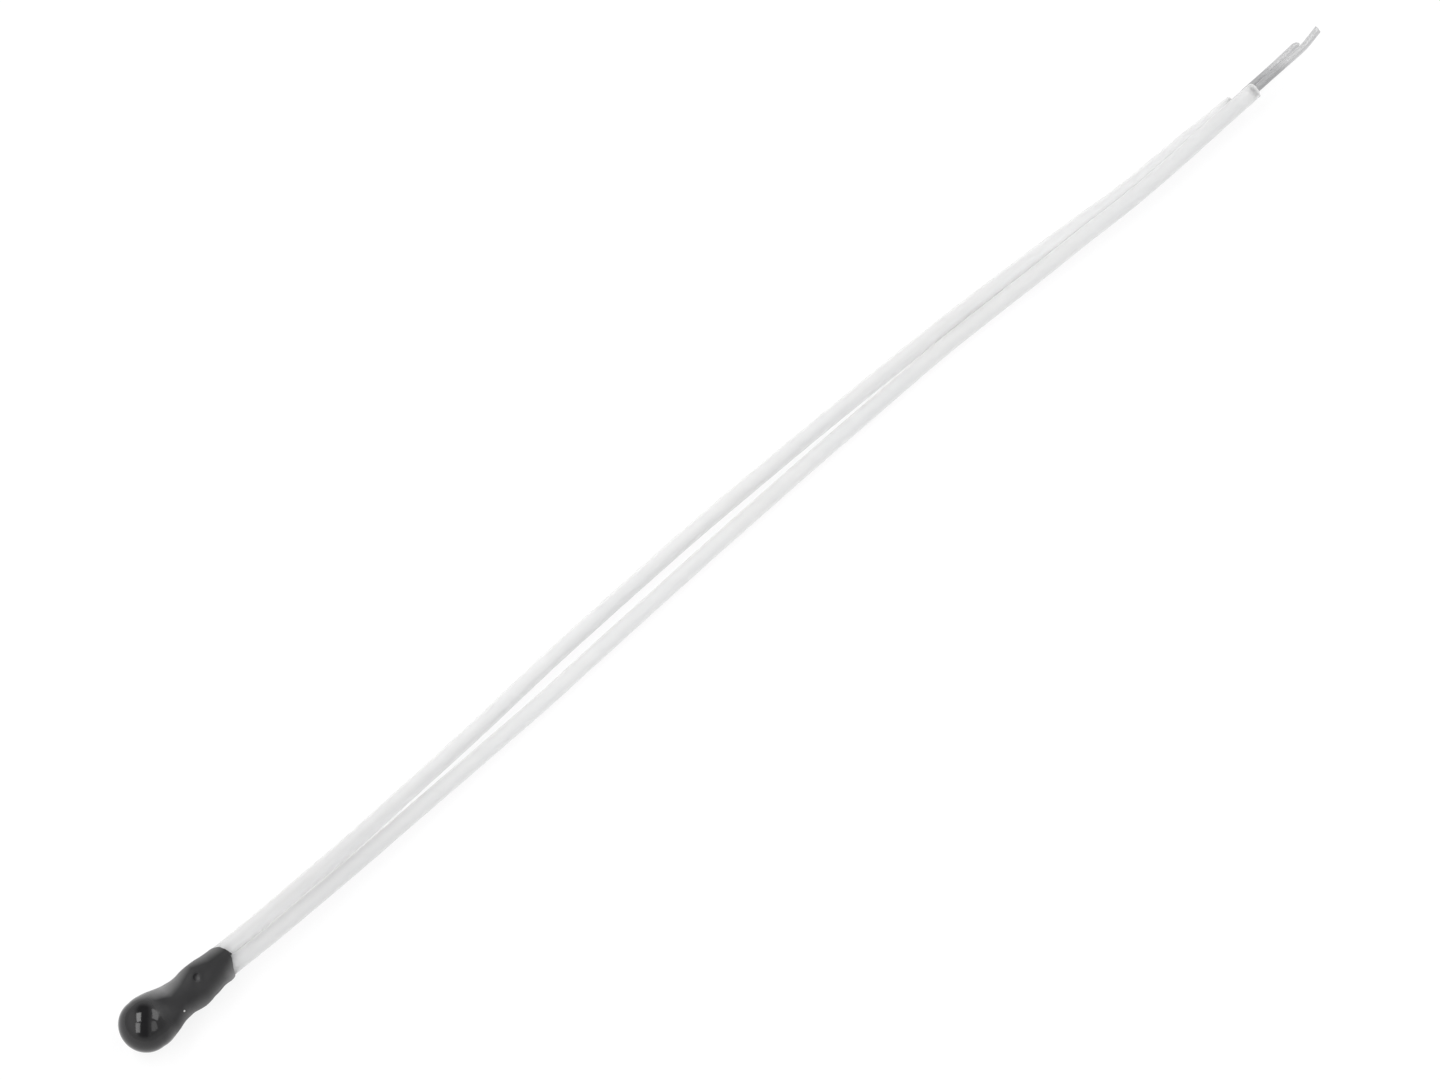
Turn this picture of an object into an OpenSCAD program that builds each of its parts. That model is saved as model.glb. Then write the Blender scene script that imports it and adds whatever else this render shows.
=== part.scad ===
// Bead thermistor with a dipped epoxy head and two thin insulated leads.
// It lies on a flat surface at z = 0. The head's axis runs along +X, half
// a bead diameter up, and the leads leave the cuff, come down to the
// surface and end stripped at the far end. All sizes are in millimetres.

/* [Head] */
// Height and length of the bead at the closed end
bead_d = 1.64; // [1.56:0.02:1.7]
// Width of the bead, across both leads
bead_w = 1.76; // [1.7:0.01:1.8]
// Length of the epoxy head, from the bead's tip to the end of the cuff
head_len = 4.3; // [4.2:0.05:4.6]
// Width of the waist, between the bead and the leads' insulation
waist_w = 1.27; // [1.2:0.01:1.3]
// Width of the swelling over the insulation's inner ends
swell_w = 1.36; // [1.32:0.01:1.4]
// Height of the waist and of the swelling
neck_h = 1.1; // [1.04:0.02:1.2]
// Width of the cuff across both leads
cuff_w = 1.17; // [1.16:0.01:1.2]
// Height of the cuff over the leads
cuff_h = 0.72; // [0.68:0.02:0.8]

/* [Leads] */
// Outside diameter of a lead's insulation
ins_d = 0.55; // [0.5:0.01:0.55]
// Diameter of the solid wire
wire_d = 0.25; // [0.2:0.01:0.26]
// Distance between the two leads' centres inside the head
pitch = 0.56; // [0.56:0.005:0.57]
// Length of insulation held in the head
grip_len = 1.55; // [1.2:0.05:1.6]
// Length of the straight tip of the lead that has a bend near its end
tip_len = 0.7; // [0.5:0.05:0.8]

/* [Sensing chip] */
// Side of the square ceramic chip
chip_w = 0.6; // [0.5:0.02:0.66]
// Thickness of one fired electrode
electrode_t = 0.03; // [0.02:0.005:0.04]
// Width of the bare rim round each electrode
electrode_rim = 0.03; // [0.02:0.01:0.05]
// Diameter of a solder joint across the wire
solder_d = 0.4; // [0.38:0.01:0.44]
// Length of a solder joint along the wire
solder_l = 0.44; // [0.36:0.02:0.46]
// Thickness of the solder between a wire and its electrode
solder_film = 0.01; // [0.01:0.005:0.02]

/* [Hidden] */
// Every piece of the part

// Height of the head's axis, and the bead's centre along it
axis_z = bead_d / 2;
bead_x = -head_len / 2 + bead_d / 2;
cuff_x = head_len / 2;

// The chip fills the space between the two wires' electrodes
chip_t = pitch - wire_d - 2 * (electrode_t + solder_film);
chip_x = bead_x - 0.02;
wire_x = chip_x - solder_l / 2 + 0.02;

// Tubes are swept with eight flat sides. An eight-sided outline of these
// radii, out to its corners, has close to the area of the round one.
sides = 8;
ins_r = ins_d / 2 * 1.036;
bore_r = (wire_d / 2 + 0.003) / cos(180 / sides);

// Where the insulation starts inside the head
grip_x = cuff_x - grip_len;
// Where the wire's round stretch hands over to its swept stretch
hand_x = grip_x + 0.2;
// How far a round stretch reaches into the swept one
tuck = 0.05;

// Routes of the two leads' centre lines, chosen by hand. Lead a is the one
// on the +Y side. It comes down to the surface and lies on it to its end.
// Lead b leaves its side halfway along, then leans up onto it.
route_a = [[3.5, 0.28, 0.81], [5.25, 0.33, 0.75], [7.2, 0.39, 0.65],
           [10.1, 0.58, 0.485], [13, 0.78, 0.345], [15, 0.94, 0.29],
           [17, 1.07, 0.275], [20, 1.2, 0.275], [23, 1.3, 0.275],
           [27, 1.34, 0.275], [30, 1.33, 0.275], [33, 1.31, 0.275],
           [35, 1.25, 0.275], [37.2, 1.15, 0.275], [39.3, 1.04, 0.275],
           [41.3, 0.92, 0.275], [43.4, 0.92, 0.275], [46.1, 0.9, 0.275]];
route_b = [[3.5, -0.3, 0.81], [5.25, -0.265, 0.75], [7.2, -0.205, 0.65],
           [10.1, -0.08, 0.485], [13, 0.03, 0.345], [15, 0.1, 0.29],
           [17, 0.205, 0.275], [20, 0.345, 0.275], [23, 0.475, 0.275],
           [27, 0.61, 0.275], [30, 0.68, 0.275], [33, 0.74, 0.278],
           [35, 0.69, 0.31], [37.1, 0.6, 0.42], [39.1, 0.53, 0.54],
           [41.1, 0.45, 0.61], [43.3, 0.48, 0.66], [45.3, 0.56, 0.705],
           [46.8, 0.6, 0.73]];
// Bare wire past the insulation: straight on lead a, and on lead b a straight
// stretch, a bend of bend_b degrees, and the tip after it
bare_a = [49.25, 1.06, 0.275];
bare_b = [49.1, 0.68, 0.73];
bend_b = 9;
elbow_l = 0.15;
// Rings between two points of a route
steps = 2;

function mix(a, b, t) = a + (b - a) * t;
function unit(v) = v / norm(v);

// Head: each row is a place along the head, from 0 at the bead's centre to
// 1 at the cuff's end, then the half width there
head_rows = [
    [0.00, bead_w / 2],
    [0.06, bead_w / 2],
    [0.12, bead_w / 2 * 0.982],
    [0.20, mix(bead_w, waist_w, 0.34) / 2],
    [0.29, mix(bead_w, waist_w, 0.76) / 2],
    [0.37, mix(bead_w, waist_w, 0.96) / 2],
    [0.42, waist_w / 2],
    [0.50, mix(waist_w, swell_w, 0.55) / 2],
    [0.57, swell_w / 2],
    [0.63, mix(swell_w, cuff_w, 0.2) / 2],
    [0.70, mix(swell_w, cuff_w, 0.5) / 2],
    [0.78, cuff_w / 2 * 1.01],
    [0.86, cuff_w / 2],
    [0.95, cuff_w / 2],
    [1.00, cuff_w / 2 * 0.996]];
// The head is flattened above and below its neck and the leads: place, half
// height
flat_rows = [
    [0.12, bead_d / 2],
    [0.20, mix(bead_d, neck_h, 0.62) / 2],
    [0.28, mix(bead_d, neck_h, 0.94) / 2],
    [0.38, neck_h / 2],
    [0.56, neck_h / 2],
    [0.66, mix(neck_h, cuff_h, 0.25) / 2],
    [0.76, mix(neck_h, cuff_h, 0.75) / 2],
    [0.86, cuff_h / 2],
    [0.96, cuff_h / 2 * 0.97],
    [1.05, cuff_h / 2 * 0.9]];

// Curve through rows of numbers: value at t between rows i and i + 1
function through(rows, i, t) =
    let (n = len(rows),
         p0 = rows[max(i - 1, 0)], p1 = rows[i],
         p2 = rows[min(i + 1, n - 1)], p3 = rows[min(i + 2, n - 1)])
    0.5 * (2 * p1 + (p2 - p0) * t + (2 * p0 - 5 * p1 + 4 * p2 - p3) * t * t
        + (3 * p1 - p0 - 3 * p2 + p3) * t * t * t);

function head_x(f) = bead_x + (cuff_x - bead_x) * f;

module head_outer() {
    n = len(head_rows);
    cap = [for (k = [1 : 11]) let (a = 90 * k / 12)
        [bead_w / 2 * sin(a), bead_x - bead_d / 2 * cos(a)]];
    side = [for (i = [0 : n - 2]) for (s = [0 : 1])
        let (r = through(head_rows, i, s / 2)) [r[1], head_x(r[0])]];
    intersection() {
        translate([0, 0, axis_z])
            scale([1, 1, bead_d / bead_w])
                rotate([0, 90, 0])
                    rotate_extrude($fn = 96)
                        polygon(concat(
                            [[0, bead_x - bead_d / 2]], cap, side,
                            [[head_rows[n - 1][1], cuff_x], [0, cuff_x]]));
        translate([0, 1, axis_z])
            rotate([90, 0, 0])
                linear_extrude(height = 2)
                    polygon(concat(
                        [[bead_x - bead_d, -bead_d]],
                        [for (r = flat_rows) [head_x(r[0]), -r[1]]],
                        [for (i = [len(flat_rows) - 1 : -1 : 0])
                            [head_x(flat_rows[i][0]), flat_rows[i][1]]],
                        [[bead_x - bead_d, bead_d]]));
    }
}

// Leads: the centre line of one, from its start in the head to the end of
// its insulation, as points a little over two diameters apart
function line_of(route, y, from_x) =
    let (rows = concat([[cuff_x, y, axis_z]], route), n = len(rows))
    concat([[from_x, y, axis_z]],
           [for (i = [0 : n - 2]) for (s = [0 : steps - 1])
               through(rows, i, s / steps)],
           [rows[n - 1]]);

// Directions of a lead's line at its points. It is straight in the head.
function ways_of(line) =
    let (n = len(line))
    [for (i = [0 : n - 1])
        i < 2 ? [1, 0, 0]
        : i == n - 1 ? unit(line[i] - line[i - 1])
        : unit(line[i + 1] - line[i - 1])];

// One ring of corners round a line's point
function ring_of(c, t, r) =
    let (s = unit(cross([0, 0, 1], t)), u = cross(t, s))
    [for (j = [0 : sides - 1]) let (a = 360 * (j + 0.5) / sides)
        c + r * (cos(a) * s + sin(a) * u)];

function rings_of(line, ways, r) =
    [for (i = [0 : len(line) - 1]) each ring_of(line[i], ways[i], r)];

// Triangles of a swept wall, seen from outside or from inside
function wall(n, at, out) =
    [for (k = [0 : n - 2]) for (j = [0 : sides - 1]) for (h = [0 : 1])
        let (a = at + k * sides + j, b = at + k * sides + (j + 1) % sides,
             c = b + sides, d = a + sides)
        out ? (h == 0 ? [a, d, c] : [a, c, b])
            : (h == 0 ? [a, c, d] : [a, b, c])];

// A solid swept rod
module rod(line, ways, r) {
    n = len(line);
    e = (n - 1) * sides;
    polyhedron(points = rings_of(line, ways, r), faces = concat(
        wall(n, 0, true),
        [[for (j = [0 : sides - 1]) j]],
        [[for (j = [sides - 1 : -1 : 0]) e + j]]), convexity = 6);
}

// A swept tube
module tube(line, r, bore) {
    ways = ways_of(line);
    n = len(line);
    m = n * sides;
    e = (n - 1) * sides;
    polyhedron(points = concat(rings_of(line, ways, r),
                               rings_of(line, ways, bore)),
        faces = concat(
            wall(n, 0, true),
            wall(n, m, false),
            [for (j = [0 : sides - 1]) let (i = (j + 1) % sides)
                [j, i, m + i, m + j]],
            [for (j = [0 : sides - 1]) let (i = (j + 1) % sides)
                [e + j, m + e + j, m + e + i, e + i]]), convexity = 6);
}

// Places its children with their Z axis from p towards q
module along(p, q) {
    t = unit(q - p);
    translate(p)
        rotate([0, acos(t[2]), atan2(t[1], t[0])])
            children();
}

// An eight-sided bar along the head's axis direction, corners at r
module bar(y, x0, x1, r) {
    translate([x0, y, axis_z])
        rotate([0, 90, 0])
            rotate([0, 0, 180 / sides])
                cylinder(r = r, h = x1 - x0, $fn = sides);
}

// A round wire along the head's axis direction
module wire(y, x0, x1) {
    translate([x0, y, axis_z])
        rotate([0, 90, 0])
            cylinder(d = wire_d, h = x1 - x0, $fn = 48);
}

// The round joint that holds one wire to its electrode
module solder_blob(side) {
    inner = chip_t / 2 + electrode_t;
    intersection() {
        translate([chip_x - solder_l / 2, side * (inner + 0.1), axis_z])
            rotate([0, 90, 0])
                cylinder(d = solder_d, h = solder_l, $fn = 48);
        translate([chip_x - solder_l, side > 0 ? inner : -inner - 1,
                   axis_z - 0.5])
            cube([solder_l * 2, 1, 1]);
    }
}

module electrode_plate(side) {
    w = chip_w - 2 * electrode_rim;
    translate([chip_x - w / 2,
               side > 0 ? chip_t / 2 : -chip_t / 2 - electrode_t,
               axis_z - w / 2])
        cube([w, electrode_t, w]);
}

module chip_block() {
    translate([chip_x - chip_w / 2, -chip_t / 2, axis_z - chip_w / 2])
        cube([chip_w, chip_t, chip_w]);
}

// Everything that one lead takes up inside the head
module lead_room(side) {
    y = side * pitch / 2;
    wire(y, wire_x, hand_x);
    bar(y, grip_x, cuff_x + 0.5, ins_r);
    solder_blob(side);
    electrode_plate(side);
}

module epoxy_head() {
    color([0.03, 0.03, 0.035])
        difference() {
            head_outer();
            chip_block();
            lead_room(1);
            lead_room(-1);
        }
}

module ntc_chip() {
    color([0.2, 0.2, 0.22]) chip_block();
}

module chip_electrode_a() {
    color([0.85, 0.85, 0.83]) electrode_plate(1);
}

module chip_electrode_b() {
    color([0.85, 0.85, 0.83]) electrode_plate(-1);
}

module solder_joint_a() {
    color([0.7, 0.71, 0.73])
        difference() {
            solder_blob(1);
            wire(pitch / 2, wire_x, chip_x + solder_l);
        }
}

module solder_joint_b() {
    color([0.7, 0.71, 0.73])
        difference() {
            solder_blob(-1);
            wire(-pitch / 2, wire_x, chip_x + solder_l);
        }
}

// A straight round wire from p to q, reaching a little further back
module bare(p, q) {
    along(p, q)
        translate([0, 0, -tuck])
            cylinder(d = wire_d, h = norm(q - p) + tuck, $fn = 48);
}

module conductor_a() {
    line = line_of(route_a, pitch / 2, hand_x);
    end = line[len(line) - 1];
    color([0.72, 0.73, 0.75])
        union() {
            wire(pitch / 2, wire_x, hand_x + tuck);
            rod(line, ways_of(line), bore_r);
            bare(end, bare_a);
        }
}

module conductor_b() {
    line = line_of(route_b, -pitch / 2, hand_x);
    end = line[len(line) - 1];
    t = unit(bare_b - end);
    u = [t[0] * cos(bend_b) - t[1] * sin(bend_b),
         t[0] * sin(bend_b) + t[1] * cos(bend_b), t[2]];
    color([0.72, 0.73, 0.75])
        union() {
            wire(-pitch / 2, wire_x, hand_x + tuck);
            rod(line, ways_of(line), bore_r);
            bare(end, bare_b - (elbow_l - tuck) * t);
            rod([bare_b - elbow_l * t, bare_b, bare_b + elbow_l * u],
                [t, unit(t + u), u], bore_r);
            bare(bare_b + elbow_l * u, bare_b + (elbow_l + tip_len) * u);
        }
}

module insulation_a() {
    color([0.93, 0.93, 0.94])
        tube(line_of(route_a, pitch / 2, grip_x), ins_r, bore_r);
}

module insulation_b() {
    color([0.93, 0.93, 0.94])
        tube(line_of(route_b, -pitch / 2, grip_x), ins_r, bore_r);
}

epoxy_head();
ntc_chip();
chip_electrode_a();
chip_electrode_b();
solder_joint_a();
solder_joint_b();
conductor_a();
conductor_b();
insulation_a();
insulation_b();
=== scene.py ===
import math

import bpy
from mathutils import Matrix, Vector, kdtree, noise


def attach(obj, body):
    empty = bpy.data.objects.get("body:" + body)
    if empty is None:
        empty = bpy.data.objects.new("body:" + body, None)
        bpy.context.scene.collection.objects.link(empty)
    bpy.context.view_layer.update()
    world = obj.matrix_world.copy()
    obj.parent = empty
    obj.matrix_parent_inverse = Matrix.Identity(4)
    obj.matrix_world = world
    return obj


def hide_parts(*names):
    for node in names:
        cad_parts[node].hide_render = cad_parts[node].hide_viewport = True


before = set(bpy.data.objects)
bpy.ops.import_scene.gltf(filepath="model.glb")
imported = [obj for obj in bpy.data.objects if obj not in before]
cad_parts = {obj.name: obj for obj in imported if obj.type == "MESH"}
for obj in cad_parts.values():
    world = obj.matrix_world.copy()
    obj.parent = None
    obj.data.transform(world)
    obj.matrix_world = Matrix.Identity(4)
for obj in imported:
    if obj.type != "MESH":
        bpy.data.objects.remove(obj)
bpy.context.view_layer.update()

MM = 0.001


# ---------------------------------------------------------------- camera
# The photograph's view: from 65 degrees above the surface, with the part
# running from the lower left to the upper right.
def camera():
    a, e = math.radians(-42.265), math.radians(65.0)
    back = Vector((math.sin(a) * math.cos(e), -math.cos(a) * math.cos(e), math.sin(e)))
    right = Vector((math.cos(a), math.sin(a), 0.0))
    up = back.cross(right)
    data = bpy.data.cameras.new("view_camera")
    data.sensor_fit = "HORIZONTAL"
    data.sensor_width = 36.0
    data.lens = 177.90
    data.clip_start, data.clip_end = 0.01, 20.0
    obj = bpy.data.objects.new("view_camera", data)
    bpy.context.scene.collection.objects.link(obj)
    at = Vector((23.0367, 0.502, 0.3)) * MM + back * (226.92 * MM)
    turn = Matrix((right, up, back)).transposed()
    obj.matrix_world = Matrix.Translation(at) @ turn.to_4x4()
    bpy.context.scene.camera = obj
    return right, up, back


RIGHT, UP, BACK = camera()

# ---------------------------------------------------------------- routes
# The leads' centre lines in millimetres, as the CAD model has them.
AXIS_Z = 0.82
BEAD_X = -1.33
CUFF_X = 2.15
GRIP_X = 0.6
WIRE_X = -1.55
INS_R = 0.275
WIRE_R = 0.125
ROUTE_A = [
    (3.5, 0.28, 0.81), (5.25, 0.33, 0.75), (7.2, 0.39, 0.65),
    (10.1, 0.58, 0.485), (13, 0.78, 0.345), (15, 0.94, 0.29),
    (17, 1.07, 0.275), (20, 1.2, 0.275), (23, 1.3, 0.275),
    (27, 1.34, 0.275), (30, 1.33, 0.275), (33, 1.31, 0.275),
    (35, 1.25, 0.275), (37.2, 1.15, 0.275), (39.3, 1.04, 0.275),
    (41.3, 0.92, 0.275), (43.4, 0.92, 0.275), (46.1, 0.9, 0.275),
]
ROUTE_B = [
    (3.5, -0.3, 0.81), (5.25, -0.265, 0.75), (7.2, -0.205, 0.65),
    (10.1, -0.08, 0.485), (13, 0.03, 0.345), (15, 0.1, 0.29),
    (17, 0.205, 0.275), (20, 0.345, 0.275), (23, 0.475, 0.275),
    (27, 0.61, 0.275), (30, 0.68, 0.275), (33, 0.74, 0.278),
    (35, 0.69, 0.31), (37.1, 0.6, 0.42), (39.1, 0.53, 0.54),
    (41.1, 0.45, 0.61), (43.3, 0.48, 0.66), (45.3, 0.56, 0.705),
    (46.8, 0.6, 0.73),
]
# The bare wires past the insulation
BARE_A = [(46.9, 0.935, 0.275), (47.9, 0.975, 0.276), (48.7, 1.025, 0.275), (49.25, 1.06, 0.275)]
BARE_B = [
    (47.5, 0.628, 0.731), (48.4, 0.656, 0.73), (48.95, 0.676, 0.73),
    (49.12, 0.685, 0.73), (49.3, 0.712, 0.73), (49.55, 0.762, 0.73),
    (49.934, 0.842, 0.73),
]


def through(rows, i, t):
    """Point at t between points i and i + 1 of a smooth curve."""
    n = len(rows)
    p0, p1 = rows[max(i - 1, 0)], rows[i]
    p2, p3 = rows[min(i + 1, n - 1)], rows[min(i + 2, n - 1)]
    return 0.5 * (
        2 * p1 + (p2 - p0) * t + (2 * p0 - 5 * p1 + 4 * p2 - p3) * t * t
        + (3 * p1 - p0 - 3 * p2 + p3) * t * t * t
    )


def smooth_line(points, steps):
    rows = [Vector(p) for p in points]
    out = []
    for i in range(len(rows) - 1):
        for s in range(steps):
            out.append(through(rows, i, s / steps))
    out.append(rows[-1])
    return out


def length_of(line):
    return sum((b - a).length for a, b in zip(line, line[1:]))


def resample(line, gap):
    """The same line with points a fixed distance apart."""
    total = length_of(line)
    n = max(2, round(total / gap))
    out, i, walked = [line[0].copy()], 0, 0.0
    for k in range(1, n):
        want = total * k / n
        while walked + (line[i + 1] - line[i]).length < want:
            walked += (line[i + 1] - line[i]).length
            i += 1
        seg = line[i + 1] - line[i]
        out.append(line[i] + seg * ((want - walked) / seg.length))
    out.append(line[-1].copy())
    return out


def lead_line(route, y):
    """The insulated lead's line from the cuff's end outwards."""
    return smooth_line([(CUFF_X, y, AXIS_Z)] + list(route), 12)


# ---------------------------------------------------------------- meshes
def new_object(name, verts, faces, lay=None, smooth=True):
    mesh = bpy.data.meshes.new(name)
    mesh.from_pydata([tuple(v * MM) for v in verts], [], faces)
    mesh.validate()
    mesh.polygons.foreach_set("use_smooth", [smooth] * len(mesh.polygons))
    if lay is not None:
        # round the lead and along it, for marks that follow the lead
        att = mesh.attributes.new("lay", "FLOAT_VECTOR", "POINT")
        att.data.foreach_set("vector", [c for v in lay for c in v])
    mesh.update()
    obj = bpy.data.objects.new(name, mesh)
    bpy.context.scene.collection.objects.link(obj)
    return obj


def frames(line):
    """Tangent, sideways and upward directions at each point of a line."""
    out = []
    n = len(line)
    for i in range(n):
        t = (line[min(i + 1, n - 1)] - line[max(i - 1, 0)]).normalized()
        s = Vector((0, 0, 1)).cross(t).normalized()
        out.append((t, s, t.cross(s)))
    return out


class Sweep:
    """Rings of points along a line, joined into walls."""

    def __init__(self, sides):
        self.sides = sides
        self.verts, self.faces, self.lay = [], [], []
        self.rings = 0

    def ring(self, centre, s, u, radius, along, shift=None):
        for j in range(self.sides):
            a = 2 * math.pi * j / self.sides
            r = radius(a) if callable(radius) else radius
            p = centre + (s * math.cos(a) + u * math.sin(a)) * r
            if shift is not None:
                p = p + shift(a)
            p.z = max(p.z, 0.0)
            self.verts.append(p)
            self.lay.append((math.cos(a), math.sin(a), along))
        self.rings += 1

    def walls(self, first, last):
        for k in range(first, last):
            for j in range(self.sides):
                a = k * self.sides + j
                b = k * self.sides + (j + 1) % self.sides
                self.faces.append((a, b, b + self.sides, a + self.sides))

    def cap(self, ring, forward, centre, along):
        c = len(self.verts)
        self.verts.append(centre)
        self.lay.append((0.0, 0.0, along))
        for j in range(self.sides):
            a = ring * self.sides + j
            b = ring * self.sides + (j + 1) % self.sides
            self.faces.append((a, b, c) if forward else (b, a, c))


def n3(x, y, z):
    return noise.noise(Vector((x, y, z)))


# ------------------------------------------------------------- insulation
def insulation(name, route, y, seed):
    """A white tube: it starts inside the head, follows the lead, and is cut
    off a little unevenly where the wire was stripped."""
    free = lead_line(route, y)
    line = resample([Vector((GRIP_X, y, AXIS_Z))] + free, 0.11)
    ways = frames(line)
    sw = Sweep(44)
    n = len(line)
    total = length_of(line)
    step = total / (n - 1)

    def outer(i):
        s = i * step
        # the extruded wall is never quite round or even
        swell = 0.0035 * n3(s * 0.55, seed, 0.3) + 0.0018 * n3(s * 2.3, seed, 4.1)
        oval = 0.0045 * n3(s * 0.28, seed, 9.7)
        turn = 1.5 * n3(s * 0.12, seed, 15.0)

        def radius(a):
            lump = 0.0016 * n3(math.cos(a) * 1.7, math.sin(a) * 1.7, s * 1.4 + seed)
            return INS_R + swell + oval * math.cos(2 * (a - turn)) + lump

        return radius

    for i in range(n):
        t, s, u = ways[i]
        sw.ring(line[i], s, u, outer(i), i * step)
    # the cut end: a small drawn-out lip, then a slightly hollow face
    t, s, u = ways[-1]
    e = line[-1]
    end_r = outer(n - 1)

    def ragged(a):
        return 0.022 * n3(math.cos(a) * 1.6, math.sin(a) * 1.6, seed + 3.0) + 0.010 * n3(
            math.cos(a) * 5.0, math.sin(a) * 5.0, seed + 7.0
        )

    for f, d in ((0.992, 0.014), (0.965, 0.026), (0.915, 0.030)):
        sw.ring(e, s, u, lambda a, f=f: end_r(a) * f, total + d, lambda a, d=d: t * (d + ragged(a)))
    for f, d in ((0.80, 0.022), (0.66, 0.012), (0.55, 0.002), (0.505, -0.012)):
        sw.ring(e, s, u, lambda a, f=f: INS_R * f, total + d, lambda a, d=d, f=f: t * (d + ragged(a) * f))
    outer_rings = sw.rings
    # the gap round the wire, as far in as the cut end lets one look
    for d in (0.03, 0.07, 0.12):
        sw.ring(e, s, u, 0.1285, total - d, lambda a, d=d: t * -d)
    sw.walls(0, sw.rings - 1)
    sw.cap(0, False, line[0].copy(), 0.0)
    sw.cap(sw.rings - 1, True, e - t * 0.12, total - 0.12)
    obj = new_object(name, sw.verts, sw.faces, sw.lay)
    return obj, free


# --------------------------------------------------------------- wires
def conductor(name, route, y, bare, seed, pinch):
    """A solid wire, straight in the head, on the lead's line inside the
    insulation, and bare past it, with a tip cut by side cutters."""
    held = [Vector((WIRE_X, y, AXIS_Z))]
    pts = [(CUFF_X, y, AXIS_Z)] + list(route) + list(bare)
    ins_line = lead_line(route, y)
    hidden = resample(held + ins_line, 0.3)
    shown = smooth_line([route[-2], route[-1]] + list(bare), 14)[14:]
    shown = resample(shown, 0.035)
    line = hidden[:-1] + shown
    first_bare = len(hidden) - 1
    ways = frames(line)
    sw = Sweep(28)
    run = 0.0
    total = length_of(line)
    for i, p in enumerate(line):
        if i:
            run += (line[i] - line[i - 1]).length
        t, s, u = ways[i]
        if i < first_bare:
            sw.ring(p, s, u, WIRE_R, run)
            continue
        past = run - (total - length_of(shown))
        left = total - run

        def radius(a, past=past, left=left, run=run):
            r = WIRE_R * (1 + 0.012 * n3(run * 1.1, seed, 2.0))
            # marks of the stripping blade and of the pull
            r -= 0.0045 * math.exp(-(((past - 0.16) / 0.045) ** 2)) * (0.6 + 0.4 * math.cos(a - 1.0))
            r -= 0.0030 * math.exp(-(((past - 0.62) / 0.03) ** 2)) * max(0.0, math.cos(a + 0.7))
            r += 0.0012 * n3(math.cos(a) * 2, math.sin(a) * 2, run * 5 + seed)
            return r

        def shift(a, left=left, s=s, u=u):
            # side cutters squeeze the tip to a blunt wedge
            q = max(0.0, 1 - left / 0.2)
            q = q * q
            c, d = math.cos(pinch), math.sin(pinch)
            x, z = math.cos(a), math.sin(a)
            across = x * c + z * d
            return (s * c + u * d) * (-across * WIRE_R * 0.34 * q) + (s * -d + u * c) * (
                (-x * d + z * c) * WIRE_R * 0.12 * q
            )

        sw.ring(p, s, u, radius, run, shift)
    t, s, u = ways[-1]
    e = line[-1]
    c, d = math.cos(pinch), math.sin(pinch)

    def tip(f, out):
        def shift(a):
            x, z = math.cos(a), math.sin(a)
            across = x * c + z * d
            flat = (s * c + u * d) * (-across * WIRE_R * 0.34) + (s * -d + u * c) * (
                (-x * d + z * c) * WIRE_R * 0.12
            )
            wedge = 0.05 * (1 - abs(across) * f * 1.15)
            return flat * f + t * (out + max(0.0, wedge) * (1 - f * 0.35) - 0.012)

        return shift

    for f, out in ((0.97, 0.006), (0.90, 0.012), (0.7, 0.013), (0.4, 0.014)):
        sw.ring(e, s, u, WIRE_R * f, total + out, tip(f, out))
    sw.walls(0, sw.rings - 1)
    sw.cap(0, False, line[0].copy(), 0.0)
    sw.cap(sw.rings - 1, True, e + t * 0.05, total)
    obj = new_object(name, sw.verts, sw.faces, sw.lay)
    return obj


# The cords are made first: each is an insulated lead, with its wire on it.
ins_a, free_a = insulation("lead_insulation_a", ROUTE_A, 0.28, 11.0)
ins_b, free_b = insulation("lead_insulation_b", ROUTE_B, -0.28, 37.0)


def paint_fill_mask(obj, other, y):
    """How closely each point of a lead faces the other one, from 0 to 1, for the painted fill light between
    the leads.
    """
    line = resample([Vector((GRIP_X, y, AXIS_Z))] + other, 0.11)
    tree = kdtree.KDTree(len(line))
    for i, p in enumerate(line):
        tree.insert(p * MM, i)
    tree.balance()
    out = []
    for v in obj.data.vertices:
        gap = tree.find(v.co)[2] / MM - INS_R
        k = max(0.0, min(1.0, (0.32 - gap) / 0.30))
        out.append(k * k * (3 - 2 * k))
    att = obj.data.attributes.new("painted_fill", "FLOAT", "POINT")
    att.data.foreach_set("value", out)


def paint_shadow_mask(obj):
    """A band along the top of a lead, on its +Y side, from 0 to 1, for a painted shadow."""
    out = []
    for d in obj.data.attributes["lay"].data:
        c, s, along = d.vector
        out.append(math.exp(-(((c - 0.42) / 0.50) ** 2)) * max(0.0, min(1.0, 0.4 + 2.0 * s)))
    att = obj.data.attributes.new("painted_shadow", "FLOAT", "POINT")
    att.data.foreach_set("value", out)


paint_fill_mask(ins_a, free_b, -0.28)
paint_shadow_mask(ins_b)
wire_a = conductor("lead_wire_a", ROUTE_A, 0.28, BARE_A, 5.0, 0.5)
wire_b = conductor("lead_wire_b", ROUTE_B, -0.28, BARE_B, 23.0, 2.3)

for obj, node, slot in (
    (ins_a, "insulation_a", "insulation"),
    (ins_b, "insulation_b", "insulation"),
    (wire_a, "conductor_a", "wire"),
    (wire_b, "conductor_b", "wire"),
):
    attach(obj, "root")
    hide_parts(node)

for obj, free, wire, y in ((ins_a, free_a, wire_a, 0.28), (ins_b, free_b, wire_b, -0.28)):
    [tuple(p * MM) for p in resample(free, length_of(free) / 36)]


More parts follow.
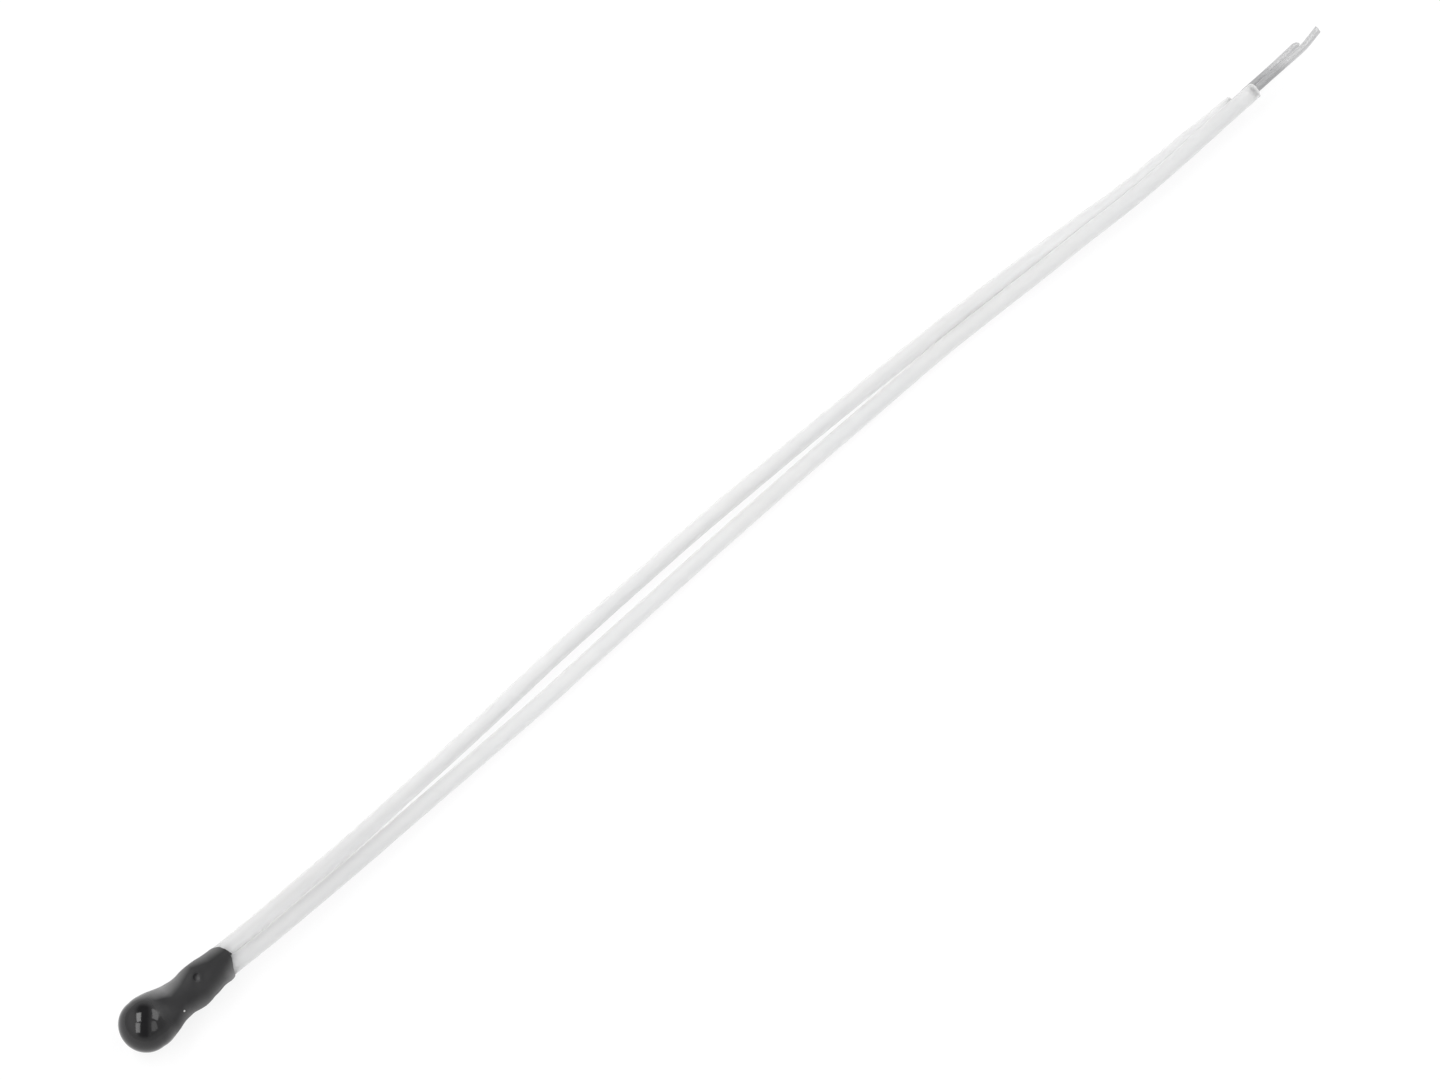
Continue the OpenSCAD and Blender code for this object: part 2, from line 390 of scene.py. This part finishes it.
# ----------------------------------------------------------------- head
# Each row is a distance from the bead's centre, then the head's half width
# on the +Y side and on the -Y side, its half height above and below its
# axis, and how square its outline is (2 is round).
HEAD_ROWS = [
    (0.00, 0.885, 0.852, 0.820, 0.820, 2.00),
    (0.13, 0.898, 0.870, 0.810, 0.812, 2.00),
    (0.26, 0.896, 0.873, 0.779, 0.790, 2.00),
    (0.39, 0.881, 0.858, 0.724, 0.750, 2.00),
    (0.52, 0.862, 0.830, 0.646, 0.700, 2.00),
    (0.65, 0.829, 0.800, 0.566, 0.650, 2.00),
    (0.78, 0.784, 0.767, 0.513, 0.610, 2.02),
    (0.91, 0.740, 0.722, 0.488, 0.585, 2.04),
    (1.04, 0.695, 0.686, 0.476, 0.570, 2.06),
    (1.17, 0.658, 0.669, 0.470, 0.560, 2.08),
    (1.30, 0.634, 0.661, 0.468, 0.556, 2.10),
    (1.43, 0.608, 0.653, 0.470, 0.554, 2.12),
    (1.56, 0.596, 0.682, 0.474, 0.553, 2.12),
    (1.70, 0.601, 0.710, 0.480, 0.552, 2.12),
    (1.84, 0.623, 0.726, 0.488, 0.550, 2.12),
    (1.98, 0.636, 0.719, 0.496, 0.545, 2.14),
    (2.12, 0.639, 0.698, 0.502, 0.535, 2.18),
    (2.26, 0.632, 0.669, 0.503, 0.515, 2.22),
    (2.40, 0.621, 0.656, 0.496, 0.486, 2.26),
    (2.54, 0.604, 0.633, 0.478, 0.450, 2.30),
    (2.68, 0.585, 0.609, 0.452, 0.415, 2.36),
    (2.82, 0.576, 0.607, 0.424, 0.388, 2.44),
    (2.96, 0.565, 0.619, 0.398, 0.368, 2.52),
    (3.10, 0.568, 0.596, 0.376, 0.356, 2.60),
    (3.24, 0.566, 0.556, 0.358, 0.348, 2.66),
    (3.40, 0.548, 0.505, 0.345, 0.340, 2.70),
]


def head_row(x):
    rows = HEAD_ROWS
    if x >= rows[-1][0]:
        return rows[-1][1:]
    for i in range(len(rows) - 1):
        if x <= rows[i + 1][0]:
            t = (x - rows[i][0]) / (rows[i + 1][0] - rows[i][0])
            out = []
            for k in range(1, 6):
                p1, p2 = rows[i][k], rows[i + 1][k]
                p0, p3 = rows[max(i - 1, 0)][k], rows[min(i + 2, len(rows) - 1)][k]
                out.append(
                    0.5 * (2 * p1 + (p2 - p0) * t + (2 * p0 - 5 * p1 + 4 * p2 - p3) * t * t
                           + (3 * p1 - p0 - 3 * p2 + p3) * t * t * t)
                )
            return out
    return rows[-1][1:]


def outline(wp, wm, hu, hd, n, a):
    """Distance from the axis to an outline, in the direction a."""
    c, s = math.cos(a), math.sin(a)
    # blend the two sides smoothly, so that no seam shows on top
    k = 0.5 + 0.5 * math.sin(math.pi * 0.5 * max(-1.0, min(1.0, c * 1.15)))
    w = wm + (wp - wm) * k
    m = 0.5 + 0.5 * math.sin(math.pi * 0.5 * max(-1.0, min(1.0, s * 1.15)))
    h = hd + (hu - hd) * m
    return (abs(c / w) ** n + abs(s / h) ** n) ** (-1 / n)


def head_end(y, s):
    """Where the epoxy's edge lies along the leads: furthest between them."""
    reach = 3.385 - 0.95 * (y - 0.08) ** 2 + 0.20 * min(0.0, y) ** 2 - 3.6 * max(0.0, y - 0.30) ** 2
    reach += 0.030 * n3(y * 3.1, s * 1.7, 2.0) + 0.012 * n3(y * 9.0, s * 4.0, 8.0)
    return reach


def epoxy_head():
    sides = 144
    verts, faces = [], []
    rings = 0

    def ring(points):
        nonlocal rings
        verts.extend(points)
        rings += 1

    def skin(x, a, r):
        """Small unevenness of the dipped surface."""
        y, z = r * math.cos(a), r * math.sin(a)
        cuff = max(0.0, min(1.0, (x - 1.5) / 1.2))
        d = 0.0045 * n3(x * 1.3 + 3.0, y * 1.6, z * 1.6 + 7.0)
        d += (0.002 + 0.0055 * cuff) * n3(x * 2.6 + 11.0, y * 3.0, z * 3.0)
        d += 0.0028 * cuff * n3(x * 6.5, y * 7.0, z * 7.0 + 5.0)
        # the neck slopes off to the +Y side, up to a soft fold in the skin
        # where the insulation starts
        d -= 0.075 * math.exp(-(((x - 1.12) / 0.40) ** 2) - ((a - 0.80) / 0.38) ** 2)
        d -= 0.018 * math.exp(-(((x - 1.80) / 0.17) ** 2) - ((a - 0.90) / 0.34) ** 2)
        # a small slanting place on top of the swelling
        if math.sin(a) > 0:
            px, py = x - 2.135, y + 0.02
            q, w = 0.74 * px - 0.67 * py, 0.67 * px + 0.74 * py
            d -= 0.095 / (1 + math.exp(-q / 0.080)) * math.exp(-((q / 0.52) ** 2) - (w / 0.33) ** 2)
        # a shallow dip over the gap between the leads
        up = math.exp(-(((a - math.pi / 2) / 0.42) ** 2))
        down = math.exp(-(((a - 3 * math.pi / 2) / 0.42) ** 2))
        d -= 0.022 * max(0.0, min(1.0, (x - 2.5) / 0.7)) * (up + down)
        return d

    def point(x, a, r):
        return Vector((BEAD_X + x, r * math.cos(a), AXIS_Z + r * math.sin(a)))

    # the closed end of the bead, from its tip to its widest place
    steps = 26
    tip = Vector((BEAD_X - 0.835, 0.008, AXIS_Z))
    for i in range(1, steps):
        b = math.pi / 2 * i / steps
        x = -0.835 * math.cos(b)
        f = math.sin(b)
        row = head_row(0.0)
        pts = []
        for j in range(sides):
            a = 2 * math.pi * j / sides
            r = outline(*row, a) * f
            r += skin(x, a, r) * f
            pts.append(point(x, a, r) + Vector((0, 0.010 * math.cos(b), 0)))
        ring(pts)
    # the body of the head: the rings lean gradually towards the edge's line
    start, plain = 0.0, 2.55
    n_body = 120
    for i in range(n_body + 1):
        x0 = 3.40 * i / n_body
        lean = max(0.0, (x0 - plain) / (3.40 - plain))
        lean = lean * lean * (3 - 2 * lean)
        pts = []
        for j in range(sides):
            a = 2 * math.pi * j / sides
            row = head_row(x0)
            r = outline(*row, a)
            y = r * math.cos(a)
            x = x0 + lean * (head_end(y, math.sin(a)) - 3.40)
            r = outline(*head_row(min(x, 3.4)), a)
            r += skin(x, a, r)
            # the last of the skin thins towards its edge
            thin = max(0.0, (x0 - 3.16) / 0.24)
            r -= 0.016 * thin * thin * abs(math.sin(a)) ** 1.5
            pts.append(point(x, a, r))
        ring(pts)
    last_body = list(verts[-sides:])
    # the rounded edge, then the face that draws in onto the leads
    for k in range(1, 8):
        b = math.pi / 2 * k / 7
        pts = []
        for j in range(sides):
            a = 2 * math.pi * j / sides
            p = last_body[j]
            r0 = math.hypot(p.y, p.z - AXIS_Z)
            r1 = outline(0.50, 0.50, 0.236, 0.236, 2.4, a)
            r = r0 + (r1 - r0) * (1 - math.cos(b))
            x = p.x - BEAD_X + 0.034 * math.sin(b)
            pts.append(point(x, a, r))
        ring(pts)
    edge = list(verts[-sides:])
    for f in (0.93, 0.84, 0.72, 0.58, 0.42, 0.26, 0.1):
        pts = []
        for j in range(sides):
            a = 2 * math.pi * j / sides
            p = edge[j]
            r = math.hypot(p.y, p.z - AXIS_Z) * f
            groove = abs(math.sin(a)) ** 8
            x = p.x - BEAD_X + 0.09 * (1 - f) ** 0.7 * groove
            pts.append(point(x, a, r))
        ring(pts)
    for k in range(rings - 1):
        for j in range(sides):
            a, b = k * sides + j, k * sides + (j + 1) % sides
            faces.append((a, b, b + sides, a + sides))
    verts.append(tip)
    t = len(verts) - 1
    for j in range(sides):
        faces.append(((j + 1) % sides, j, t))
    mid = Vector((0, 0, 0))
    for p in verts[(rings - 1) * sides:rings * sides]:
        mid += p / sides
    verts.append(mid)
    t = len(verts) - 1
    for j in range(sides):
        a, b = (rings - 1) * sides + j, (rings - 1) * sides + (j + 1) % sides
        faces.append((a, b, t))
    return new_object("dipped_head", verts, faces)


head = epoxy_head()
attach(head, "root")
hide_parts("epoxy_head")


# ------------------------------------------------------------- materials
class Nodes:
    """Short forms for building a material's nodes."""

    def __init__(self, name):
        self.mat = bpy.data.materials.new(name)
        self.mat.use_nodes = True
        self.tree = self.mat.node_tree
        self.tree.nodes.clear()
        self.out = self.tree.nodes.new("ShaderNodeOutputMaterial")
        self.bsdf = self.tree.nodes.new("ShaderNodeBsdfPrincipled")
        self.link(self.bsdf.outputs[0], self.out.inputs[0])

    def link(self, a, b):
        self.tree.links.new(a, b)

    def node(self, kind, **values):
        n = self.tree.nodes.new(kind)
        for k, v in values.items():
            setattr(n, k, v)
        return n

    def coords(self, scale, attribute=None):
        """Object coordinates, or the lead's own, times a scale."""
        if attribute:
            src = self.node("ShaderNodeAttribute", attribute_name=attribute)
            out = src.outputs["Vector"]
        else:
            src = self.node("ShaderNodeTexCoord")
            out = src.outputs["Object"]
        m = self.node("ShaderNodeMapping")
        m.inputs["Scale"].default_value = scale
        self.link(out, m.inputs["Vector"])
        return m.outputs[0]

    def noise(self, vector, scale=1.0, detail=3.0, rough=0.5, distortion=0.0):
        n = self.node("ShaderNodeTexNoise")
        n.inputs["Scale"].default_value = scale
        n.inputs["Detail"].default_value = detail
        n.inputs["Roughness"].default_value = rough
        n.inputs["Distortion"].default_value = distortion
        self.link(vector, n.inputs["Vector"])
        return n.outputs["Fac"]

    def ramp(self, fac, *stops):
        n = self.node("ShaderNodeValToRGB")
        e = n.color_ramp.elements
        e[0].position, e[0].color = stops[0][0], (*stops[0][1], 1)
        e[1].position, e[1].color = stops[-1][0], (*stops[-1][1], 1)
        for pos, col in stops[1:-1]:
            s = e.new(pos)
            s.color = (*col, 1)
        self.link(fac, n.inputs[0])
        return n.outputs[0]

    def span(self, value, a, b, to_a, to_b, smooth=False):
        n = self.node("ShaderNodeMapRange")
        if smooth:
            n.interpolation_type = "SMOOTHSTEP"
        for i, v in enumerate((a, b, to_a, to_b)):
            n.inputs[i + 1].default_value = v
        self.link(value, n.inputs[0])
        return n.outputs[0]

    def math(self, op, a, b=None):
        n = self.node("ShaderNodeMath", operation=op)
        for i, v in enumerate((a, b)):
            if v is None:
                continue
            if isinstance(v, (int, float)):
                n.inputs[i].default_value = v
            else:
                self.link(v, n.inputs[i])
        return n.outputs[0]

    def mix(self, fac, a, b):
        n = self.node("ShaderNodeMix", data_type="RGBA")
        for socket, v in ((n.inputs[0], fac), (n.inputs[6], a), (n.inputs[7], b)):
            if isinstance(v, tuple):
                socket.default_value = (*v, 1)
            elif isinstance(v, (int, float)):
                socket.default_value = v
            else:
                self.link(v, socket)
        return n.outputs[2]

    def bump(self, height, strength, distance, below=None):
        n = self.node("ShaderNodeBump")
        n.inputs["Strength"].default_value = strength
        n.inputs["Distance"].default_value = distance
        self.link(height, n.inputs["Height"])
        if below is not None:
            self.link(below, n.inputs["Normal"])
        return n.outputs[0]

    def set(self, **values):
        for k, v in values.items():
            socket = self.bsdf.inputs[k.replace("_", " ")]
            if isinstance(v, (int, float)):
                socket.default_value = v
            elif isinstance(v, tuple):
                socket.default_value = v if len(v) == len(socket.default_value) else (*v, 1)
            else:
                self.link(v, socket)


def epoxy_material():
    m = Nodes("black_dipped_epoxy")
    wide = m.noise(m.coords((900, 900, 900)), 1.0, 3.0, 0.55)
    fine = m.noise(m.coords((9000, 9000, 9000)), 1.0, 2.0, 0.6)
    colour = m.ramp(wide, (0.25, (0.0115, 0.0115, 0.0125)), (0.75, (0.0200, 0.0195, 0.0205)))
    # one small pale spot on the head, by the waist
    pos = m.node("ShaderNodeTexCoord").outputs["Object"]
    dist = m.node("ShaderNodeVectorMath", operation="DISTANCE")
    m.link(pos, dist.inputs[0])
    dist.inputs[1].default_value = SPECK
    speck = m.span(dist.outputs["Value"], 0.000020, 0.000038, 1.0, 0.0, True)
    # the neck and the cuff, where the skin is thin, are duller than the
    # drop, apart from one smooth place on the swelling between them
    x = m.node("ShaderNodeSeparateXYZ")
    m.link(pos, x.inputs[0])
    along = m.math("ADD", x.outputs[0], m.math("MULTIPLY", m.math("SUBTRACT", wide, 0.5), 0.0006))
    dull = m.span(along, -0.00097, -0.00066, 0.0, 0.43, True)
    place = m.node("ShaderNodeVectorMath", operation="DISTANCE")
    m.link(pos, place.inputs[0])
    place.inputs[1].default_value = (0.000778, -0.000005, 0.00131)
    smooth = m.span(place.outputs["Value"], 0.00010, 0.00020, 0.32, 0.0, True)
    rough = m.math("ADD", m.span(wide, 0.2, 0.8, 0.07, 0.11), m.math("SUBTRACT", dull, smooth))
    rough = m.math("ADD", rough, m.math("MULTIPLY", fine, 0.03))
    # a faint painted sheen that thickens down both flanks of the neck and the cuff: pale grey added to the
    # base colour in place of a reflection
    at = m.span(along, -0.00133, 0.00207, 0.0, 1.0)

    def flank(sideways, *starts):
        """How far a flank reaches below where its painted sheen starts, in mm."""
        edge = m.ramp(at, *[(k, (v, v, v)) for k, v in starts])
        return m.math("MAXIMUM", m.math("SUBTRACT", m.math("MULTIPLY", sideways, 1000.0), edge), 0.0)

    left = flank(
        x.outputs[1], (0.0, 0.70), (0.10, 0.50), (0.19, 0.24), (0.33, 0.02),
        (0.48, 0.13), (0.63, 0.36), (0.78, 0.14), (1.0, 0.14),
    )
    right = flank(
        m.math("MULTIPLY", x.outputs[1], -1.0), (0.0, 0.80), (0.19, 0.55), (0.34, 0.34), (0.58, 0.44),
        (0.70, 0.38), (0.80, 0.26), (0.90, 0.16), (1.0, 0.0),
    )
    right = m.math("MULTIPLY", m.math("MULTIPLY", right, right), 1.1)
    # the painted sheen is thickest on top, and fades towards the underside
    left = m.math("MULTIPLY", left, m.span(x.outputs[2], 0.00064, 0.00098, 0.10, 0.46, True))
    right = m.math("MULTIPLY", right, m.span(x.outputs[2], 0.00036, 0.00066, 0.25, 1.0, True))
    painted_sheen = m.math("ADD", left, right)
    painted_sheen = m.math("MINIMUM", m.math("MULTIPLY", painted_sheen, m.span(wide, 0.2, 0.8, 0.80, 1.15)), 0.24)
    painted_sheen_colour = m.node("ShaderNodeCombineColor")
    for k in range(3):
        m.link(painted_sheen, painted_sheen_colour.inputs[k])
    # the painted sheen is added onto the epoxy's own colour
    lift = m.node("ShaderNodeMix", data_type="RGBA", blend_type="ADD")
    lift.inputs[0].default_value = 1.0
    m.link(colour, lift.inputs[6])
    m.link(painted_sheen_colour.outputs[0], lift.inputs[7])
    colour = m.mix(speck, lift.outputs[2], (0.62, 0.62, 0.61))
    low = m.bump(wide, 0.25, 0.00003)
    mid = m.bump(fine, 0.10, 0.000004, low)
    m.set(Base_Color=colour, Roughness=rough, IOR=1.45, Normal=mid)
    return m.mat


def insulation_material():
    m = Nodes("white_lead_insulation")
    mottle = m.noise(m.coords((350, 350, 350)), 1.0, 4.0, 0.6)
    along = m.noise(m.coords((5.0, 5.0, 0.22), "lay"), 1.0, 3.0, 0.6)
    lines = m.noise(m.coords((11.0, 11.0, 0.10), "lay"), 1.0, 2.0, 0.5)
    grain = m.noise(m.coords((14000, 14000, 14000)), 1.0, 2.0, 0.6)
    colour = m.ramp(
        mottle, (0.28, (0.594, 0.598, 0.602)), (0.52, (0.614, 0.614, 0.614)), (0.75, (0.625, 0.622, 0.617))
    )
    colour = m.mix(m.span(along, 0.3, 0.75, 0.0, 0.22), colour, (0.575, 0.579, 0.585))
    # a little greyer where it comes out of the head
    lay = m.node("ShaderNodeAttribute", attribute_name="lay")
    parts = m.node("ShaderNodeSeparateXYZ")
    m.link(lay.outputs["Vector"], parts.inputs[0])
    near = m.span(parts.outputs[2], 5.0, 14.0, 0.55, 0.0, True)
    colour = m.mix(near, colour, (0.50, 0.50, 0.503))
    # painted light and shade: one lead is painted lighter where the other one faces it, a painted fill
    # against the shade in the groove between them, and that other one has a painted shadow along its top by
    # the head, where the first lead shades it
    painted_fill = m.node("ShaderNodeAttribute", attribute_name="painted_fill").outputs["Fac"]
    painted_fill = m.math("MULTIPLY", painted_fill, m.span(parts.outputs[2], 37.0, 41.0, 1.0, 0.35, True))
    # painted fill light: lighter where the two leads face each other
    colour = m.mix(painted_fill, colour, (0.80, 0.80, 0.80))
    painted_shadow = m.node("ShaderNodeAttribute", attribute_name="painted_shadow").outputs["Fac"]
    # painted shadow: darker along the top by the head, where the other lead shades it
    colour = m.mix(m.math("MULTIPLY", painted_shadow, near), colour, (0.38, 0.38, 0.385))
    # faint scuffs picked up in handling
    scuff = m.noise(m.coords((1500, 2200, 2200)), 1.0, 5.0, 0.75, 0.4)
    scuff = m.span(scuff, 0.66, 0.78, 0.0, 0.22, True)
    colour = m.mix(scuff, colour, (0.56, 0.56, 0.557))
    rough = m.math("ADD", m.span(along, 0.25, 0.75, 0.36, 0.50), m.math("MULTIPLY", scuff, 0.2))
    low = m.bump(lines, 0.35, 0.000010)
    mid = m.bump(along, 0.30, 0.000012, low)
    top = m.bump(grain, 0.10, 0.000002, mid)
    m.set(
        Base_Color=colour, Roughness=rough, Normal=top, IOR=1.38,
        Subsurface_Weight=1.0, Subsurface_Radius=(1.0, 1.0, 1.0), Subsurface_Scale=0.0018,
    )
    return m.mat


def wire_material(name, dark_from, dark_to, seed):
    m = Nodes(name)
    draw = m.noise(m.coords((3.5, 3.5, 0.30), "lay"), 1.0, 2.0, 0.5)
    cloud = m.noise(m.coords((2.0, 2.0, 1.6), "lay"), 1.0 + seed, 4.0, 0.6)
    grain = m.noise(m.coords((14000, 14000, 14000)), 1.0, 3.0, 0.6)
    colour = m.ramp(
        cloud, (0.25, (0.65, 0.652, 0.656)), (0.55, (0.71, 0.711, 0.715)), (0.8, (0.75, 0.75, 0.752))
    )
    # darker and rougher up to a little past where the insulation ends
    lay = m.node("ShaderNodeAttribute", attribute_name="lay")
    parts = m.node("ShaderNodeSeparateXYZ")
    m.link(lay.outputs["Vector"], parts.inputs[0])
    dull = m.span(parts.outputs[2], dark_from, dark_to, 1.0, 0.0, True)
    dull = m.math("MULTIPLY", dull, m.span(cloud, 0.2, 0.7, 1.0, 0.7))
    colour = m.mix(dull, colour, (0.50, 0.502, 0.508))
    rough = m.math("ADD", m.span(draw, 0.2, 0.8, 0.60, 0.70), m.math("MULTIPLY", dull, 0.10))
    low = m.bump(draw, 0.08, 0.000006)
    top = m.bump(grain, 0.02, 0.000002, low)
    m.set(Base_Color=colour, Metallic=1.0, Roughness=rough, Normal=top)
    return m.mat


def ceramic_material():
    m = Nodes("sintered_ceramic")
    body = m.noise(m.coords((5200, 5200, 5200)), 1.0, 5.0, 0.65)
    cells = m.node("ShaderNodeTexVoronoi", feature="F1")
    cells.inputs["Scale"].default_value = 1.0
    m.link(m.coords((30000, 30000, 30000)), cells.inputs["Vector"])
    colour = m.ramp(body, (0.3, (0.055, 0.054, 0.060)), (0.7, (0.105, 0.103, 0.108)))
    pores = m.span(cells.outputs["Distance"], 0.05, 0.35, 0.0, 1.0, True)
    colour = m.mix(m.span(pores, 0.0, 1.0, 0.5, 0.0), colour, (0.03, 0.03, 0.032))
    low = m.bump(body, 0.4, 0.000006)
    top = m.bump(pores, 0.5, 0.000004, low)
    m.set(Base_Color=colour, Roughness=m.span(body, 0.3, 0.7, 0.55, 0.72), Normal=top)
    return m.mat


def silver_material():
    m = Nodes("fired_silver")
    body = m.noise(m.coords((9000, 9000, 9000)), 1.0, 5.0, 0.7)
    fine = m.noise(m.coords((42000, 42000, 42000)), 1.0, 3.0, 0.6)
    colour = m.ramp(body, (0.3, (0.66, 0.655, 0.63)), (0.7, (0.84, 0.84, 0.82)))
    low = m.bump(body, 0.4, 0.000004)
    top = m.bump(fine, 0.5, 0.000002, low)
    m.set(Base_Color=colour, Metallic=1.0, Roughness=m.span(fine, 0.3, 0.7, 0.42, 0.6), Normal=top)
    return m.mat


def solder_material():
    m = Nodes("soft_solder")
    flow = m.noise(m.coords((4200, 4200, 4200)), 1.0, 4.0, 0.6, 0.6)
    fine = m.noise(m.coords((26000, 26000, 26000)), 1.0, 3.0, 0.6)
    colour = m.ramp(flow, (0.3, (0.50, 0.51, 0.53)), (0.7, (0.68, 0.69, 0.71)))
    low = m.bump(flow, 0.5, 0.000008)
    top = m.bump(fine, 0.3, 0.000002, low)
    m.set(Base_Color=colour, Metallic=1.0, Roughness=m.span(flow, 0.3, 0.7, 0.26, 0.45), Normal=top)
    return m.mat


def speck_place():
    """A place on the head's -Y side, by the waist."""
    x, a = 1.13, math.radians(150.5)
    r = outline(*head_row(x), a)
    return Vector((BEAD_X + x, r * math.cos(a), AXIS_Z + r * math.sin(a))) * MM


SPECK = speck_place()

bare_from_a = length_of([Vector((WIRE_X, 0.28, AXIS_Z))] + free_a)
bare_from_b = length_of([Vector((WIRE_X, -0.28, AXIS_Z))] + free_b)


def dress(obj, mat):
    obj.data.materials.clear()
    obj.data.materials.append(mat)


dress(head, epoxy_material())
white = insulation_material()
dress(ins_a, white)
dress(ins_b, white)
dress(wire_a, wire_material("plated_wire_a", bare_from_a + 1.4, bare_from_a + 2.1, 0.0))
dress(wire_b, wire_material("plated_wire_b", bare_from_b + 0.9, bare_from_b + 1.7, 0.35))

inner = {
    "ntc_chip": ceramic_material(),
    "chip_electrode_a": silver_material(),
    "solder_joint_a": solder_material(),
}
inner["chip_electrode_b"] = inner["chip_electrode_a"]
inner["solder_joint_b"] = inner["solder_joint_a"]
for name, mat in inner.items():
    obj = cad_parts[name]
    if obj.material_slots:
        for s in obj.material_slots:
            s.material = mat
    else:
        obj.data.materials.append(mat)


# ---------------------------------------------------------------- studio
def floor():
    s = 3.0
    mesh = bpy.data.meshes.new("studio_floor")
    mesh.from_pydata([(-s, -s, 0), (s, -s, 0), (s, s, 0), (-s, s, 0)], [], [(0, 1, 2, 3)])
    obj = bpy.data.objects.new("studio_floor", mesh)
    bpy.context.scene.collection.objects.link(obj)
    m = Nodes("pale_paper")
    soft = m.noise(m.coords((60, 60, 60)), 1.0, 2.0, 0.5)
    colour = m.ramp(soft, (0.3, (0.165, 0.165, 0.17)), (0.7, (0.175, 0.175, 0.175)))
    m.set(Base_Color=colour, Roughness=0.85, IOR=1.2, Emission_Color=(1.0, 1.0, 1.0), Emission_Strength=0.85)
    dress(obj, m.mat)


def panel(name, towards, length_dir, distance, wide, long, radiance):
    """A soft light of an even brightness, facing the head."""
    data = bpy.data.lights.new(name, "AREA")
    data.shape = "RECTANGLE"
    data.size, data.size_y = wide, long
    data.energy = radiance * math.pi * wide * long
    obj = bpy.data.objects.new(name, data)
    bpy.context.scene.collection.objects.link(obj)
    z = Vector(towards).normalized()
    y = Vector(length_dir)
    y = (y - z * y.dot(z)).normalized()
    x = y.cross(z)
    at = Vector((BEAD_X, 0, AXIS_Z)) * MM + z * distance
    obj.matrix_world = Matrix.Translation(at) @ Matrix((x, y, z)).transposed().to_4x4()
    obj.visible_camera = False
    return obj


def studio():
    floor()
    d = 0.40
    panel("strip_left_far", (-0.118, 0.491, 0.863), (-0.670, -0.681, 0.296), d,
          0.120, 0.265, 5.6)
    panel("strip_left_near", (-0.656, 0.024, 0.754), (-0.596, -0.629, -0.499), d,
          0.138, 0.285, 4.0)
    panel("strip_right_far", (0.778, 0.028, 0.628), (-0.465, -0.646, 0.605), d,
          0.148, 0.334, 2.8)
    panel("strip_right_near", (0.194, -0.605, 0.772), (-0.569, -0.711, -0.414), d,
          0.112, 0.305, 1.4)
    # a pale tent round it all, with a dark slit above, where the camera is
    world = bpy.data.worlds.new("tent")
    bpy.context.scene.world = world
    world.use_nodes = True
    t = world.node_tree
    t.nodes.clear()
    out = t.nodes.new("ShaderNodeOutputWorld")
    bg = t.nodes.new("ShaderNodeBackground")
    plain = t.nodes.new("ShaderNodeBackground")
    pick = t.nodes.new("ShaderNodeMixShader")
    path = t.nodes.new("ShaderNodeLightPath")
    tc = t.nodes.new("ShaderNodeTexCoord")
    dot = t.nodes.new("ShaderNodeVectorMath")
    dot.operation = "DOT_PRODUCT"
    dot.inputs[1].default_value = RIGHT
    t.links.new(tc.outputs["Generated"], dot.inputs[0])

    def fade(value, *span):
        n = t.nodes.new("ShaderNodeMapRange")
        n.interpolation_type = "SMOOTHSTEP"
        for i, v in enumerate(span):
            n.inputs[i + 1].default_value = v
        t.links.new(value, n.inputs[0])
        return n.outputs[0]

    # paler on the left than on the right, and dark in a slit between
    left = fade(dot.outputs["Value"], -0.72, -0.30, 1.10, 0.0)
    right = fade(dot.outputs["Value"], 0.08, 0.36, 0.0, 0.47)
    both = t.nodes.new("ShaderNodeMath")
    t.links.new(left, both.inputs[0])
    t.links.new(right, both.inputs[1])
    # the slit ends above the horizon, which is pale all round
    parts = t.nodes.new("ShaderNodeSeparateXYZ")
    t.links.new(tc.outputs["Generated"], parts.inputs[0])
    low = fade(parts.outputs[2], 0.12, 0.50, 1.0, 0.0)
    level = t.nodes.new("ShaderNodeMix")
    level.inputs[3].default_value = 0.78
    t.links.new(low, level.inputs[0])
    t.links.new(both.outputs[0], level.inputs[2])
    t.links.new(level.outputs[0], bg.inputs["Strength"])
    bg.inputs["Color"].default_value = (1, 1, 1, 1)
    plain.inputs["Color"].default_value = (0.93, 0.93, 0.935, 1)
    t.links.new(path.outputs["Is Camera Ray"], pick.inputs[0])
    t.links.new(bg.outputs[0], pick.inputs[1])
    t.links.new(plain.outputs[0], pick.inputs[2])
    t.links.new(pick.outputs[0], out.inputs[0])
    view = bpy.context.scene.view_settings
    view.view_transform = "Standard"
    view.look = "None"
    view.exposure = 0.0


studio()
